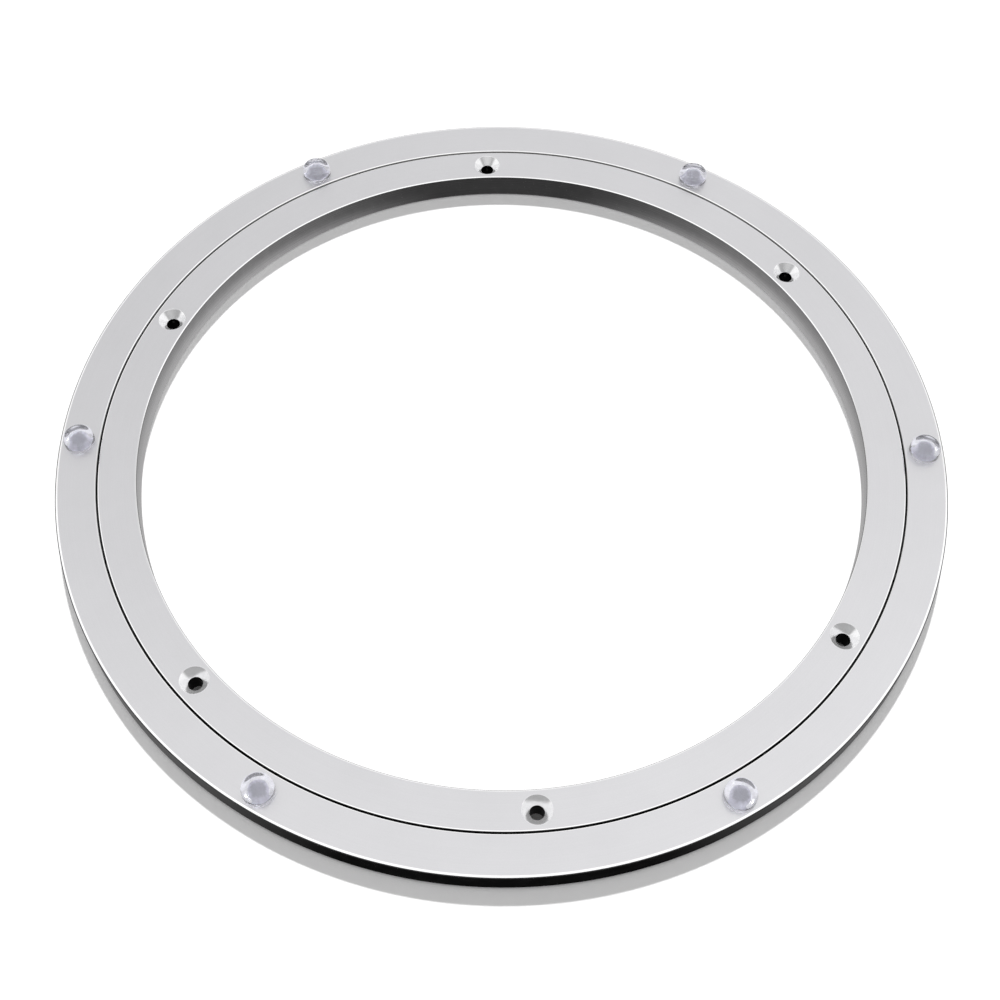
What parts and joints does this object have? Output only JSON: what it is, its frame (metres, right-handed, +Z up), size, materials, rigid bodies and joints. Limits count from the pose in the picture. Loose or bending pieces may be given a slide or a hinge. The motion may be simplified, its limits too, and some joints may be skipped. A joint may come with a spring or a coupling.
{
  "type": "lazy susan bearing",
  "caption": "Flat round turntable bearing: two flush satin aluminium rings, one turning round the other on caged balls, with countersunk screw holes and clear bumpers.",
  "frame": {"origin": "on the turning axis, in the plane of the table under the inner ring", "axes": "+Z up along the turning axis, +X towards the first bumper"},
  "size_m": [0.3, 0.3, 0.0131],
  "materials": {
    "ring_aluminium": "satin anodised",
    "plug_steel": "zinc plated",
    "ball_steel": "polished",
    "cage_plastic": "black, moulded",
    "clear_rubber": "clear, soft"
  },
  "bodies": {
    "base_ring": {"inner_ring": "ring_aluminium"},
    "turning_ring": {"outer_ring": "ring_aluminium", "port_plug": "plug_steel", "bumper_1": "clear_rubber", "bumper_2": "clear_rubber", "bumper_3": "clear_rubber", "bumper_4": "clear_rubber", "bumper_5": "clear_rubber", "bumper_6": "clear_rubber"},
    "ball_cage": {"bearing_balls": "ball_steel", "cage_segment_1": "cage_plastic", "cage_segment_2": "cage_plastic", "cage_segment_3": "cage_plastic", "cage_segment_4": "cage_plastic", "cage_segment_5": "cage_plastic", "cage_segment_6": "cage_plastic"}
  },
  "joints": [
    {"name": "ring_turn", "type": "hinge", "parent": "base_ring", "child": "turning_ring", "pos_m": [0, 0, 0], "axis": [0, 0, 1], "continuous": true},
    {"name": "cage_turn", "type": "hinge", "parent": "base_ring", "child": "ball_cage", "pos_m": [0, 0, 0], "axis": [0, 0, 1], "continuous": true}
  ],
  "couplings": [
    {"joint": "cage_turn", "follows": "ring_turn", "ratio": 0.5065}
  ]
}
